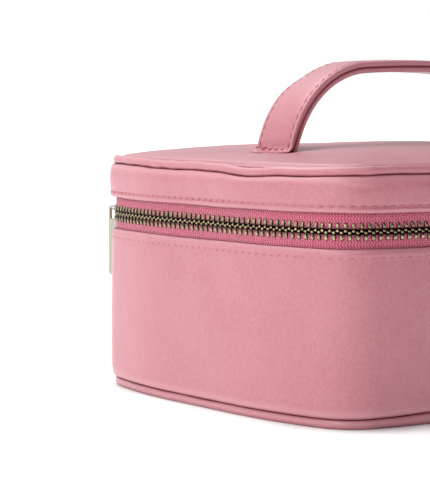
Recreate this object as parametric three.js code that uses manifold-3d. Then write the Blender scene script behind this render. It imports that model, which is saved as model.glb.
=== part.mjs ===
// Makeup train case: a soft-cornered box with a zipped, padded lid and a strap handle.
// Millimetres, +Z up. The origin is the centre of the flat base, +X runs along the long side,
// -Y is the front and +Y is the back, where the lid hinges on a flexible strip.
import * as THREE from "three";
import { mergeVertices } from "three/addons/utils/BufferGeometryUtils.js";
import Module from "manifold-3d";

// ---- Driving dimensions: plan outline ----------------------------------------------------
// The outline is the curve that the outer faces of the zip teeth follow. Each corner is a
// tight arc between two long, gentle shoulder arcs, and the shoulders run into short flats.
const HALF_LENGTH = 120;
const HALF_DEPTH = 95.3;
const CORNER_RADIUS = 23.25;
const SHOULDER_RADIUS = 203.5;
const SHOULDER_ANGLE = THREE.MathUtils.degToRad(14.6);
const SHOULDER_STEPS = 3;
const CORNER_STEPS = 6;

// ---- Driving dimensions: heights ---------------------------------------------------------
const WELT_HEIGHT = 4;
const BODY_TOP = 74.6;
const ZIP_HEIGHT = 81.8;
const LID_BOTTOM = 89.4;
const LID_SEAM = 104.4;
const DOME_EDGE = 108.2;
const DOME_RISE = 6.8;
const DOME_POWER = 0.8;
const BASE_PANEL = 1.2;
const LINING_SHEET = 0.8;
const LID_BOARD = 1.6;
const TOP_SKIN = 1.2;

// ---- Driving dimensions: layers, as distances outside the outline ------------------------
const GAP = 0.3;
const BODY_FACE = 1.6;
const LID_FACE = 1.8;
const SKIN = 0.8;
const HEM_BACK = -0.6;
const HEM_HEIGHT = 6;
const TAPE_FACE = -0.9;
const TAPE_BACK = -1.5;
const LINING_FACE = -1.8;
const LINING_BACK = -2.4;
const TAPE_FLANGE = 17;
const BASE_WELT_FACE = -0.3;
const BASE_WELT_WIDTH = 3.7;
const LID_WELT_FACE = 0.3;
const LID_WELT_WIDTH = 3.4;
const EDGE_ROUND = 0.6;

// ---- Driving dimensions: zip -------------------------------------------------------------
const TEETH_HALF_HEIGHT = 3.7;
const TEETH_DEPTH = 2.4;
const TEETH_LEG = 0.6;
const TAPE_EDGE = 1.2;
const HINGE_STRIP_HALF = 68;
const SLIDER_LENGTH = 11;
const SLIDER_HALF_WIDTH = 4.9;
const SLIDER_POST = 2.6;
const SLIDER_TURN = THREE.MathUtils.degToRad(107.3);
const STOP_LENGTH = 2.2;

// ---- Driving dimensions: pull ------------------------------------------------------------
const PLATE_FACE = 1.5;
const PLATE_THICKNESS = 1.1;
const BRIDGE_PIVOT = 5.5;
const BRIDGE_RAISE = 0.75;
const BRIDGE_BAR = 1;
const BRIDGE_WIDTH = 1.1;
const BRIDGE_INSIDE = 1.7;
const BRIDGE_OUTSIDE = 2.8;
const BRIDGE_ROUND = 0.9;
const PULL_WIDTH = 6.1;
const PULL_THICKNESS = 1.5;
const PULL_ABOVE = 1.8;
const PULL_BELOW = 32.1;
const PULL_INNER_EDGE = -2.35;
const PULL_END_RADIUS = 2;
const EYE_RIM = 0.95;
const EYE_HEIGHT = 5.7;
const EYE_RADIUS = 1.3;

// ---- Driving dimensions: handle ----------------------------------------------------------
const HANDLE_WIDTH = 26;
const HANDLE_BASE = { x: -76.3, z: 113.1 };
const HANDLE_LEG_ANGLE = THREE.MathUtils.degToRad(71);
const HANDLE_CROWN_ANGLE = THREE.MathUtils.degToRad(3);
const HANDLE_BEND_RADIUS = 46;
const HANDLE_BEND_START = 118.9;
const FOOT_BEND_RADIUS = 4;
const FOOT_LENGTH = 4;
const OUTER_STRAP = 2.6;
const INNER_STRAP = 2.4;
const CORE_WIDTH = 18;
const CORE_DEPTH = 1.2;
const STRAP_ROUND = 0.9;

// ---- Colours and finishes ----------------------------------------------------------------
const FINISH = {
  leather: { color: 0xdc97a2, roughness: 0.48, metalness: 0 },
  tape: { color: 0xcf6582, roughness: 0.85, metalness: 0 },
  brass: { color: 0x8f8060, roughness: 0.35, metalness: 1 },
  pewter: { color: 0xb9b4a6, roughness: 0.35, metalness: 1 },
  lining: { color: 0xe9d3cd, roughness: 0.9, metalness: 0 },
  board: { color: 0x9a8468, roughness: 0.9, metalness: 0 },
  foam: { color: 0xe8e4da, roughness: 1, metalness: 0 },
};

const wasm = await Module();
wasm.setup();

const trainCase = new THREE.Group();

function addMesh(parent, name, geometry, finish) {
  const mesh = new THREE.Mesh(geometry, new THREE.MeshStandardMaterial(FINISH[finish]));
  mesh.name = name;
  parent.add(mesh);
  return mesh;
}

// ---- Plan outline ------------------------------------------------------------------------
// Walked counter-clockwise from the middle of the back, as stretches of constant curvature.
function outlineStretches() {
  const corner = Math.PI / 2 - 2 * SHOULDER_ANGLE;
  const arcs = [
    { radius: SHOULDER_RADIUS, angle: SHOULDER_ANGLE, steps: SHOULDER_STEPS },
    { radius: CORNER_RADIUS, angle: corner, steps: CORNER_STEPS },
    { radius: SHOULDER_RADIUS, angle: SHOULDER_ANGLE, steps: SHOULDER_STEPS },
  ];
  let along = 0;
  let across = 0;
  let turned = 0;
  for (const { radius, angle } of arcs) {
    along += radius * (Math.sin(turned + angle) - Math.sin(turned));
    across += radius * (Math.cos(turned) - Math.cos(turned + angle));
    turned += angle;
  }
  const cornerTurn = arcs.map(({ radius, angle, steps }) => ({ length: radius * angle, angle, steps }));
  const flat = (length) => ({ length, angle: 0, steps: 1 });
  const longHalf = flat(HALF_LENGTH - along);
  const short = flat(2 * (HALF_DEPTH - across));
  const long = flat(2 * (HALF_LENGTH - along));
  return [longHalf, ...cornerTurn, short, ...cornerTurn, long, ...cornerTurn, short, ...cornerTurn, longHalf];
}

const STRETCHES = outlineStretches();
const OUTLINE_LENGTH = STRETCHES.reduce((sum, { length }) => sum + length, 0);

// The point and outward normal at a distance along the outline.
function outlineAt(distance) {
  let left = distance;
  let heading = Math.PI;
  const point = new THREE.Vector3(0, HALF_DEPTH, 0);
  for (const { length, angle } of STRETCHES) {
    const part = Math.min(left, length);
    const turn = angle * (part / length);
    const chord = angle ? (length / angle) * 2 * Math.sin(turn / 2) : part;
    const middle = heading + turn / 2;
    point.x += chord * Math.cos(middle);
    point.y += chord * Math.sin(middle);
    heading += turn;
    left -= part;
    if (left <= 0) break;
  }
  return { point, side: new THREE.Vector3(Math.sin(heading), -Math.cos(heading), 0) };
}

// The distances at which a swept solid has a cross-section, from start to end.
function outlineSteps(start, end) {
  const steps = [start];
  let passed = 0;
  for (const { length, steps: count } of STRETCHES) {
    for (let i = 1; i <= count; i += 1) {
      const here = passed + (length * i) / count;
      if (here > start + 1 && here < end - 1) steps.push(here);
    }
    passed += length;
  }
  steps.push(end);
  return steps;
}

function outlineStations(start, end) {
  const up = new THREE.Vector3(0, 0, 1);
  return outlineSteps(start, end).map((distance) => ({ ...outlineAt(distance), up }));
}

// ---- Solids from cross-sections ----------------------------------------------------------
function meshFrom(points, triangles) {
  const geometry = new THREE.BufferGeometry().setFromPoints(points);
  geometry.setIndex(triangles);
  geometry.computeVertexNormals();
  return geometry;
}

function quad(a, b, c, d) {
  return [a, b, c, a, c, d];
}

// Sweeps a counter-clockwise profile of [distance to the side, height] along the stations.
function sweep(stations, profile, closed) {
  const points = stations.flatMap(({ point, side, up }) =>
    profile.map(([across, height]) =>
      point.clone().addScaledVector(side, across).addScaledVector(up, height)));
  const count = profile.length;
  const triangles = [];
  const spans = closed ? stations.length : stations.length - 1;
  for (let i = 0; i < spans; i += 1) {
    const here = i * count;
    const next = ((i + 1) % stations.length) * count;
    for (let j = 0; j < count; j += 1) {
      const k = (j + 1) % count;
      triangles.push(...quad(here + j, next + j, next + k, here + k));
    }
  }
  if (!closed) {
    const flat = profile.map(([across, height]) => new THREE.Vector2(across, height));
    const last = (stations.length - 1) * count;
    for (const [a, b, c] of THREE.ShapeUtils.triangulateShape(flat, [])) {
      triangles.push(a, b, c, last + a, last + c, last + b);
    }
  }
  return meshFrom(points, triangles);
}

function ring(profile) {
  return sweep(outlineStations(0, OUTLINE_LENGTH).slice(0, -1), profile, true);
}

function strip(profile, start, end) {
  return sweep(outlineStations(start, end), profile, false);
}

// Spins a profile of [share of the outline, distance outside it, height] round the case. It
// starts and ends on the centre line, where the share is 0.
function spun(profile) {
  const stations = outlineStations(0, OUTLINE_LENGTH).slice(0, -1);
  const rings = profile.slice(1, -1);
  const points = rings.flatMap(([share, outside, height]) => stations.map(({ point, side }) =>
    point.clone().addScaledVector(side, outside).multiplyScalar(share).setZ(height)));
  points.push(new THREE.Vector3(0, 0, profile[0][2]));
  points.push(new THREE.Vector3(0, 0, profile[profile.length - 1][2]));
  const bottom = points.length - 2;
  const top = points.length - 1;
  const count = stations.length;
  const lastRing = (rings.length - 1) * count;
  const triangles = [];
  for (let i = 0; i < count; i += 1) {
    const next = (i + 1) % count;
    triangles.push(bottom, next, i, top, lastRing + i, lastRing + next);
    for (let j = 0; j < rings.length - 1; j += 1) {
      const low = j * count;
      const high = low + count;
      triangles.push(...quad(low + i, low + next, high + next, high + i));
    }
  }
  return meshFrom(points, triangles);
}

function plate(outside, low, high) {
  return spun([[0, 0, low], [1, outside, low], [1, outside, high], [0, 0, high]]);
}

// Turns a profile upside down about a height, keeping it counter-clockwise.
function flipped(profile, height) {
  return profile.map(([across, z]) => [across, 2 * height - z]).reverse();
}

// A round-edged welt: an octagon of the given outer face, width and height.
function weltProfile(face, width, low, high) {
  const cut = (high - low) * 0.29;
  const back = face - width;
  return [
    [back + cut, low], [face - cut, low], [face, low + cut], [face, high - cut],
    [face - cut, high], [back + cut, high], [back, high - cut], [back, low + cut],
  ];
}

// ---- Joining solids ----------------------------------------------------------------------
function solidOf(geometry) {
  const plain = geometry.clone();
  plain.deleteAttribute("normal");
  plain.deleteAttribute("uv");
  const merged = mergeVertices(plain, 1e-4);
  const vertProperties = merged.getAttribute("position").array;
  const triVerts = new Uint32Array(merged.getIndex().array);
  return new wasm.Manifold(new wasm.Mesh({ numProp: 3, vertProperties, triVerts }));
}

function joined(geometries) {
  const solid = geometries.map(solidOf).reduce((sum, next) => sum.add(next));
  const { vertProperties, triVerts } = solid.getMesh();
  const geometry = new THREE.BufferGeometry();
  geometry.setAttribute("position", new THREE.BufferAttribute(vertProperties, 3));
  geometry.setIndex(new THREE.BufferAttribute(triVerts, 1));
  geometry.computeVertexNormals();
  return geometry;
}

// ---- Lower case --------------------------------------------------------------------------
function addLowerCase() {
  const hemBottom = BODY_TOP - HEM_HEIGHT;
  const wallBack = BODY_FACE - SKIN;
  const wallStart = WELT_HEIGHT + GAP;
  const tuck = [BASE_WELT_FACE, wallStart];
  const tuckBack = [BASE_WELT_FACE - SKIN, wallStart + 0.7];
  addMesh(trainCase, "body_outer_wall", ring([
    tuck, [1, wallStart + 1.7], [BODY_FACE, wallStart + 4.5], [BODY_FACE, BODY_TOP - 1.5 * EDGE_ROUND],
    [BODY_FACE - EDGE_ROUND, BODY_TOP], [HEM_BACK + EDGE_ROUND, BODY_TOP], [HEM_BACK, BODY_TOP - EDGE_ROUND],
    [HEM_BACK, hemBottom], [wallBack, hemBottom], [wallBack, wallStart + 4.7], [0.2, wallStart + 2.3], tuckBack,
  ]), "leather");
  const boardStart = wallStart + 3;
  addMesh(trainCase, "body_wall_board", ring([
    [HEM_BACK, boardStart], [wallBack - 3 * GAP, boardStart], [wallBack - GAP, boardStart + 2.2],
    [wallBack - GAP, hemBottom - GAP], [HEM_BACK, hemBottom - GAP],
  ]), "board");
  const liningStart = wallStart + 1.5;
  const liningTop = BODY_TOP - EDGE_ROUND;
  const tapeStart = ZIP_HEIGHT - TAPE_FLANGE;
  addMesh(trainCase, "body_lining", ring([
    [LINING_BACK, liningStart], [LINING_FACE, liningStart], [TAPE_FACE, liningStart + 1.8],
    [TAPE_FACE, tapeStart - GAP], [LINING_FACE, tapeStart - GAP], [LINING_FACE, liningTop],
    [LINING_BACK, liningTop],
  ]), "lining");
  const insideWelt = BASE_WELT_FACE - BASE_WELT_WIDTH - GAP;
  const welt = weltProfile(BASE_WELT_FACE, BASE_WELT_WIDTH, 0, WELT_HEIGHT);
  addMesh(trainCase, "base_welt", ring(welt), "leather");
  addMesh(trainCase, "base_panel", plate(insideWelt, 0, BASE_PANEL), "leather");
  addMesh(trainCase, "base_board", plate(insideWelt, BASE_PANEL + GAP, WELT_HEIGHT), "board");
  addMesh(trainCase, "base_lining", plate(LINING_FACE, wallStart, liningStart - GAP), "lining");
}

// ---- Zip ---------------------------------------------------------------------------------
// A row of teeth clamps the edge of its tape, so its section is a U over that edge.
function teethProfile() {
  const low = ZIP_HEIGHT - TEETH_HALF_HEIGHT;
  const high = ZIP_HEIGHT - GAP / 2;
  const web = ZIP_HEIGHT - TAPE_EDGE + GAP;
  return [
    [0, low], [0, high], [-TEETH_DEPTH, high], [-TEETH_DEPTH, low],
    [TEETH_LEG - TEETH_DEPTH, low], [TEETH_LEG - TEETH_DEPTH, web], [-TEETH_LEG, web], [-TEETH_LEG, low],
  ];
}

function tapeProfile() {
  const low = ZIP_HEIGHT - TAPE_FLANGE;
  const high = ZIP_HEIGHT - TAPE_EDGE;
  return [[TAPE_BACK, low], [TAPE_FACE, low], [TAPE_FACE, high], [TAPE_BACK, high]];
}

// The stop at the far end of the zip grips both tapes, so its section is an H.
function farStopProfile() {
  const reach = TEETH_HALF_HEIGHT - 0.4;
  const web = TAPE_EDGE - GAP;
  const front = -TEETH_LEG;
  const back = TEETH_LEG - TEETH_DEPTH;
  const at = (across, height) => [across, ZIP_HEIGHT + height];
  return [
    at(0, -reach), at(0, reach), at(front, reach), at(front, web), at(back, web), at(back, reach),
    at(-TEETH_DEPTH, reach), at(-TEETH_DEPTH, -reach), at(back, -reach), at(back, -web),
    at(front, -web), at(front, -reach),
  ];
}

function addZip() {
  const cornerStart = STRETCHES[0].length + STRETCHES[1].length;
  const sliderAt = cornerStart + CORNER_RADIUS * (SLIDER_TURN - Math.PI / 2 - SHOULDER_ANGLE);
  const clear = SLIDER_LENGTH / 2 + GAP;
  const teethStart = sliderAt + clear;
  const teethEnd = OUTLINE_LENGTH - sliderAt;
  const tapeStart = HINGE_STRIP_HALF + GAP;
  const tapeEnd = OUTLINE_LENGTH - tapeStart;
  const stopStart = sliderAt - clear - STOP_LENGTH;
  const farStopStart = teethEnd + GAP;
  const upper = (profile) => flipped(profile, ZIP_HEIGHT);
  addMesh(trainCase, "lower_zip_tape", strip(tapeProfile(), tapeStart, tapeEnd), "tape");
  addMesh(trainCase, "upper_zip_tape", strip(upper(tapeProfile()), tapeStart, tapeEnd), "tape");
  addMesh(trainCase, "lower_zip_teeth", strip(teethProfile(), teethStart, teethEnd), "brass");
  addMesh(trainCase, "upper_zip_teeth", strip(upper(teethProfile()), teethStart, teethEnd), "brass");
  const stopEnd = stopStart + STOP_LENGTH;
  addMesh(trainCase, "lower_end_stop", strip(teethProfile(), stopStart, stopEnd), "brass");
  addMesh(trainCase, "upper_end_stop", strip(upper(teethProfile()), stopStart, stopEnd), "brass");
  const farStop = strip(farStopProfile(), farStopStart, farStopStart + STOP_LENGTH);
  addMesh(trainCase, "far_end_stop", farStop, "brass");
}

// The flexible strip across the back. It is the lid's hinge and bends along the zip's height.
function addHingeStrip() {
  const low = ZIP_HEIGHT - TAPE_FLANGE;
  const high = ZIP_HEIGHT + TAPE_FLANGE;
  const profile = [[TAPE_BACK, low], [TAPE_FACE, low], [TAPE_FACE, high], [TAPE_BACK, high]];
  const half = HINGE_STRIP_HALF;
  const stations = [
    ...outlineStations(OUTLINE_LENGTH - half, OUTLINE_LENGTH).slice(0, -1),
    ...outlineStations(0, half),
  ];
  addMesh(trainCase, "back_hinge_strip", sweep(stations, profile, false), "leather");
}

// ---- Slider and pull ---------------------------------------------------------------------
// Built about the centre of the back left corner, with +X pointing out through the slider and
// +Y along the chain, then turned into place.
// The plate narrows towards its front and is notched between the two horns at its back.
function sliderPlate(back) {
  const half = SLIDER_LENGTH / 2;
  const wide = SLIDER_HALF_WIDTH;
  const narrow = wide - 1.1;
  const horn = 3.2;
  const notch = 1.4;
  const round = 1.2;
  const shape = new THREE.Shape();
  shape.moveTo(half, round - narrow);
  shape.lineTo(half, narrow - round);
  shape.quadraticCurveTo(half, narrow, half - round, narrow);
  shape.lineTo(-0.5, wide - 0.3);
  shape.quadraticCurveTo(-half, wide, -half, horn);
  shape.quadraticCurveTo(-half, notch, notch - half, 0);
  shape.quadraticCurveTo(-half, -notch, -half, -horn);
  shape.quadraticCurveTo(-half, -wide, -0.5, 0.3 - wide);
  shape.lineTo(half - round, -narrow);
  shape.quadraticCurveTo(half, -narrow, half, round - narrow);
  const solid = new THREE.ExtrudeGeometry(shape, { depth: PLATE_THICKNESS, bevelEnabled: false, curveSegments: 3 });
  const turn = new THREE.Matrix4().makeBasis(
    new THREE.Vector3(0, 1, 0), new THREE.Vector3(0, 0, 1), new THREE.Vector3(1, 0, 0));
  solid.applyMatrix4(turn);
  return solid.translate(back, 0, 0);
}

function sliderBody() {
  const outerBack = CORNER_RADIUS + PLATE_FACE - PLATE_THICKNESS;
  const innerBack = CORNER_RADIUS - TEETH_DEPTH - SKIN - PLATE_THICKNESS;
  const postHeight = 2 * (TAPE_EDGE - GAP);
  const postDepth = outerBack - innerBack;
  const post = new THREE.BoxGeometry(postDepth, SLIDER_POST, postHeight);
  post.translate(innerBack + postDepth / 2 + PLATE_THICKNESS / 2, -SLIDER_POST, 0);
  return joined([sliderPlate(outerBack), sliderPlate(innerBack), post]);
}

// The arch over the slider that the pull hangs on.
function sliderBridge() {
  const foot = CORNER_RADIUS + PLATE_FACE + GAP;
  const under = CORNER_RADIUS + BRIDGE_PIVOT - BRIDGE_BAR / 2;
  const over = under + BRIDGE_BAR;
  const turn = BRIDGE_OUTSIDE - BRIDGE_ROUND;
  const arch = new THREE.Shape();
  arch.moveTo(foot, -BRIDGE_OUTSIDE);
  arch.lineTo(over - BRIDGE_ROUND, -BRIDGE_OUTSIDE);
  arch.quadraticCurveTo(over, -BRIDGE_OUTSIDE, over, -turn);
  arch.lineTo(over, turn);
  arch.quadraticCurveTo(over, BRIDGE_OUTSIDE, over - BRIDGE_ROUND, BRIDGE_OUTSIDE);
  arch.lineTo(foot, BRIDGE_OUTSIDE);
  arch.lineTo(foot, BRIDGE_INSIDE);
  arch.lineTo(under, BRIDGE_INSIDE);
  arch.lineTo(under, -BRIDGE_INSIDE);
  arch.lineTo(foot, -BRIDGE_INSIDE);
  const solid = new THREE.ExtrudeGeometry(arch, { depth: BRIDGE_WIDTH, bevelEnabled: false, curveSegments: 3 });
  return solid.translate(0, 0, BRIDGE_RAISE - BRIDGE_WIDTH / 2);
}

function roundedRectangle(path, left, right, low, high, radius) {
  path.moveTo(left + radius, low);
  path.lineTo(right - radius, low);
  path.quadraticCurveTo(right, low, right, low + radius);
  path.lineTo(right, high - radius);
  path.quadraticCurveTo(right, high, right - radius, high);
  path.lineTo(left + radius, high);
  path.quadraticCurveTo(left, high, left, high - radius);
  path.lineTo(left, low + radius);
  path.quadraticCurveTo(left, low, left + radius, low);
}

// The flat bar with an eye at its top, hanging edge-on to the wall.
function pullBar() {
  const inner = CORNER_RADIUS + BRIDGE_PIVOT + PULL_INNER_EDGE;
  const outer = inner + PULL_WIDTH;
  const shape = new THREE.Shape();
  roundedRectangle(shape, inner, outer, -PULL_BELOW, PULL_ABOVE, PULL_END_RADIUS);
  const eye = new THREE.Path();
  const eyeTop = PULL_ABOVE - EYE_RIM;
  roundedRectangle(eye, inner + EYE_RIM, outer - EYE_RIM, eyeTop - EYE_HEIGHT, eyeTop, EYE_RADIUS);
  shape.holes.push(eye);
  const settings = { depth: PULL_THICKNESS, bevelEnabled: false, curveSegments: 3 };
  const bar = new THREE.ExtrudeGeometry(shape, settings);
  return bar.rotateX(Math.PI / 2).translate(0, PULL_THICKNESS / 2, BRIDGE_RAISE);
}

function addSlider() {
  const lean = SHOULDER_RADIUS - CORNER_RADIUS;
  const flat = STRETCHES[0].length;
  const slider = new THREE.Group();
  slider.position.set(
    -flat - lean * Math.sin(SHOULDER_ANGLE),
    HALF_DEPTH - SHOULDER_RADIUS + lean * Math.cos(SHOULDER_ANGLE),
    ZIP_HEIGHT,
  );
  slider.rotation.z = SLIDER_TURN;
  addMesh(slider, "slider_body", sliderBody(), "pewter");
  addMesh(slider, "slider_bridge", sliderBridge(), "pewter");
  addMesh(slider, "zip_pull", pullBar(), "pewter");
  trainCase.add(slider);
}

// ---- Lid ---------------------------------------------------------------------------------
function domeHeight(share) {
  return DOME_EDGE + DOME_RISE * (1 - share * share) ** DOME_POWER;
}

// The rings of a domed surface, from the edge to the centre line.
function domeRings(outside, drop) {
  const shares = [1, 0.985, 0.94, 0.86, 0.72, 0.52, 0.28, 0];
  return shares.map((share) => [share, outside, domeHeight(share) - drop]);
}

function addLid() {
  const hemTop = LID_BOTTOM + HEM_HEIGHT;
  const bandBack = LID_FACE - SKIN;
  addMesh(trainCase, "lid_band", ring([
    [LID_FACE - EDGE_ROUND, LID_BOTTOM], [LID_FACE, LID_BOTTOM + 1.5 * EDGE_ROUND],
    [LID_FACE, LID_SEAM - 2.4], [LID_FACE - 0.5, LID_SEAM - 0.8], [0.4, LID_SEAM],
    [-0.4, LID_SEAM - 0.6], [bandBack - GAP, LID_SEAM - 1.2], [bandBack, LID_SEAM - 2.6],
    [bandBack, hemTop], [HEM_BACK, hemTop], [HEM_BACK, LID_BOTTOM + EDGE_ROUND],
    [HEM_BACK + EDGE_ROUND, LID_BOTTOM],
  ]), "leather");
  const boardTop = LID_SEAM - 2.8;
  addMesh(trainCase, "lid_band_board", ring([
    [HEM_BACK, hemTop + GAP], [bandBack - GAP, hemTop + GAP], [bandBack - GAP, boardTop],
    [HEM_BACK, boardTop],
  ]), "board");
  const liningLow = LID_BOTTOM + EDGE_ROUND;
  const liningTop = boardTop;
  const tapeTop = ZIP_HEIGHT + TAPE_FLANGE + GAP;
  addMesh(trainCase, "lid_lining", ring([
    [LINING_BACK, liningLow], [LINING_FACE, liningLow], [LINING_FACE, tapeTop],
    [TAPE_FACE, tapeTop], [TAPE_FACE, liningTop], [LINING_BACK, liningTop],
  ]), "lining");
  const ceiling = liningTop + GAP;
  addMesh(trainCase, "lid_top_lining", plate(TAPE_FACE, ceiling, ceiling + LINING_SHEET), "lining");
  const board = ceiling + LINING_SHEET + GAP;
  addMesh(trainCase, "lid_top_board", plate(TAPE_FACE - GAP, board, board + LID_BOARD), "board");
  const welt = weltProfile(LID_WELT_FACE, LID_WELT_WIDTH, LID_SEAM + GAP, DOME_EDGE);
  addMesh(trainCase, "lid_welt", ring(welt), "leather");
  const padFloor = board + LID_BOARD + GAP;
  const insideWelt = LID_WELT_FACE - LID_WELT_WIDTH - GAP;
  const panelUnder = domeRings(insideWelt, TOP_SKIN).reverse();
  addMesh(trainCase, "lid_top_panel", spun([...panelUnder, ...domeRings(insideWelt, 0)]), "leather");
  const padDrop = TOP_SKIN + GAP;
  const padTop = domeRings(insideWelt, padDrop).slice(1);
  addMesh(trainCase, "lid_top_pad", spun([
    [0, 0, padFloor], [1, insideWelt, padFloor], ...padTop,
  ]), "foam");
}

// ---- Handle ------------------------------------------------------------------------------
// The seam line between the two straps, as stations from the left end to the right end. It
// leans in at the leg angle, bends over on a long arc and runs across a slightly crowned grip.
function handleStations(withFoot) {
  const path = [];
  const add = (x, z, heading) => path.push({ x, z, heading });
  const lean = 1 / Math.tan(HANDLE_LEG_ANGLE);
  const legX = (z) => HANDLE_BASE.x + (z - HANDLE_BASE.z) * lean;
  if (withFoot) {
    const rise = FOOT_BEND_RADIUS * (1 - Math.cos(HANDLE_LEG_ANGLE));
    const footZ = domeHeight(HANDLE_BASE.x / HALF_LENGTH) + GAP / 6;
    const legStart = footZ + rise;
    const bendX = legX(legStart) - FOOT_BEND_RADIUS * Math.sin(HANDLE_LEG_ANGLE);
    add(bendX - FOOT_LENGTH, footZ, 0);
    const footSteps = 4;
    for (let i = 0; i <= footSteps; i += 1) {
      const turn = (HANDLE_LEG_ANGLE * i) / footSteps;
      const x = bendX + FOOT_BEND_RADIUS * Math.sin(turn);
      add(x, footZ + FOOT_BEND_RADIUS * (1 - Math.cos(turn)), turn);
    }
  } else {
    add(HANDLE_BASE.x, HANDLE_BASE.z + GAP, HANDLE_LEG_ANGLE);
  }
  const bendSteps = 8;
  const bendX = legX(HANDLE_BEND_START);
  for (let i = 0; i <= bendSteps; i += 1) {
    const turn = HANDLE_LEG_ANGLE + ((HANDLE_CROWN_ANGLE - HANDLE_LEG_ANGLE) * i) / bendSteps;
    const x = bendX + HANDLE_BEND_RADIUS * (Math.sin(HANDLE_LEG_ANGLE) - Math.sin(turn));
    const z = HANDLE_BEND_START + HANDLE_BEND_RADIUS * (Math.cos(turn) - Math.cos(HANDLE_LEG_ANGLE));
    add(x, z, turn);
  }
  const end = path[path.length - 1];
  const crownRise = -end.x * Math.tan(HANDLE_CROWN_ANGLE / 2);
  add(end.x / 2, end.z + crownRise * 0.75, HANDLE_CROWN_ANGLE / 2);
  add(0, end.z + crownRise, 0);
  const mirrored = path.slice(0, -1).reverse().map(({ x, z, heading }) => ({ x: -x, z, heading: -heading }));
  return [...path, ...mirrored].map(({ x, z, heading }) => ({
    point: new THREE.Vector3(x, 0, z),
    side: new THREE.Vector3(-Math.sin(heading), 0, Math.cos(heading)),
    up: new THREE.Vector3(0, 1, 0),
  }));
}

// Strap sections are given as [distance above the seam line, distance to the side].
function addHandle() {
  const half = HANDLE_WIDTH / 2;
  const coreHalf = CORE_WIDTH / 2;
  const seam = GAP / 2;
  const channel = seam + CORE_DEPTH;
  const channelHalf = coreHalf + GAP;
  addMesh(trainCase, "handle_outer_strap", sweep(handleStations(true), [
    [seam, -half], [OUTER_STRAP - STRAP_ROUND, -half], [OUTER_STRAP, STRAP_ROUND - half],
    [OUTER_STRAP, half - STRAP_ROUND], [OUTER_STRAP - STRAP_ROUND, half], [seam, half],
    [seam, channelHalf], [channel, channelHalf], [channel, -channelHalf], [seam, -channelHalf],
  ], false), "leather");
  addMesh(trainCase, "handle_inner_strap", sweep(handleStations(false), [
    [STRAP_ROUND - INNER_STRAP, half], [-INNER_STRAP, half - STRAP_ROUND],
    [-INNER_STRAP, STRAP_ROUND - half], [STRAP_ROUND - INNER_STRAP, -half], [-seam, -half], [-seam, half],
  ], false), "leather");
  const coreTop = channel - GAP;
  addMesh(trainCase, "handle_core", sweep(handleStations(false), [
    [seam, -coreHalf], [coreTop, -coreHalf], [coreTop, coreHalf], [seam, coreHalf],
  ], false), "foam");
}

addLowerCase();
addZip();
addHingeStrip();
addSlider();
addLid();
addHandle();

export default trainCase;
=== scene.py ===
"""Makeup train case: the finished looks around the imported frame.

Shapes are worked out in millimetres and scaled to metres when a mesh is made. The plan outline
is the curve that the outer faces of the zip teeth follow; a place on the case is a distance
along that outline, a distance outside it and a height.
"""

import math
import random

import bpy
import numpy as np
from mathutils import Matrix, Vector


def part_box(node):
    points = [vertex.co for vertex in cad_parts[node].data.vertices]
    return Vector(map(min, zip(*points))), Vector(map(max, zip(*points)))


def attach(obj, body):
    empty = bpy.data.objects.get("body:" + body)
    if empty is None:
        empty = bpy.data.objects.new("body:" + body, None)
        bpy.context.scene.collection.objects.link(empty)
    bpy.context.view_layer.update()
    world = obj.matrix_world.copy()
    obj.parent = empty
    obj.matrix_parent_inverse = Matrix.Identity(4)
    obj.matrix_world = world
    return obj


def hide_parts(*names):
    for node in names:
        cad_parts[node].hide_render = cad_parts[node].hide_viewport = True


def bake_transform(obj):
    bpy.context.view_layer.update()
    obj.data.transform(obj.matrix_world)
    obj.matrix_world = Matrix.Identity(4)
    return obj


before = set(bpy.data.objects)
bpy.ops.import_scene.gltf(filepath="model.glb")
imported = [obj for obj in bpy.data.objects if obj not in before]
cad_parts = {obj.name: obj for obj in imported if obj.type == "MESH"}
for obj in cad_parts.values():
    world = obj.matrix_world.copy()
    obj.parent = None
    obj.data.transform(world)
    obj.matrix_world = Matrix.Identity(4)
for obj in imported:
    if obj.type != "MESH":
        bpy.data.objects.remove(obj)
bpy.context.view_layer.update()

MM = 0.001
TURN = 2 * math.pi
X, Y, Z = range(3)


def low(node, axis):
    """A CAD node's lowest coordinate along an axis, in millimetres."""
    return float(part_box(node)[0][axis]) / MM


def high(node, axis):
    """A CAD node's highest coordinate along an axis, in millimetres."""
    return float(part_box(node)[1][axis]) / MM


# ---- Driving dimensions, in millimetres ----
CORNER_RADIUS = 23.25
SHOULDER_RADIUS = 203.5
SHOULDER_ANGLE = math.radians(14.6)
TAPE_EDGE = 1.2
ZIP_HEIGHT = high("lower_zip_tape", Z) + TAPE_EDGE
HALF_LENGTH = high("lower_zip_teeth", X)
BODY_FACE = high("body_outer_wall", X) - HALF_LENGTH
LID_FACE = high("lid_band", X) - HALF_LENGTH
HALF_DEPTH = high("body_outer_wall", Y) - BODY_FACE
BODY_TOP = high("body_outer_wall", Z)
WELT_HEIGHT = high("base_welt", Z)
LID_BOTTOM = low("lid_band", Z)
LID_SEAM = high("lid_band", Z)
WELT_LOW = low("lid_welt", Z)
WELT_HIGH = high("lid_welt", Z)
DOME_TOP = high("lid_top_panel", Z)
DOME_RISE = 6.8
DOME_POWER = 0.52
DOME_INSET = 3.4
DOME_EDGE = DOME_TOP - DOME_RISE
HEM_BACK = -0.6
HEM_HEIGHT = 6.0
SKIN = 0.8
TAPE_FACE = -0.9
TAPE_BACK = -1.5
TAPE_REACH = high("upper_zip_tape", Z) - ZIP_HEIGHT
LINING_FACE = -1.8
LINING_BACK = -2.4
LINING_LEDGE = 17.3
TOOTH_PITCH = 3.4
TOOTH_BACK = -2.4
WEAVE_PITCH = 1.35
WEAVE_ROW = 0.95
BODY_STITCH_HEIGHT = BODY_TOP - 3.7
LID_STITCH_HEIGHT = LID_BOTTOM + 2.7
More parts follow.
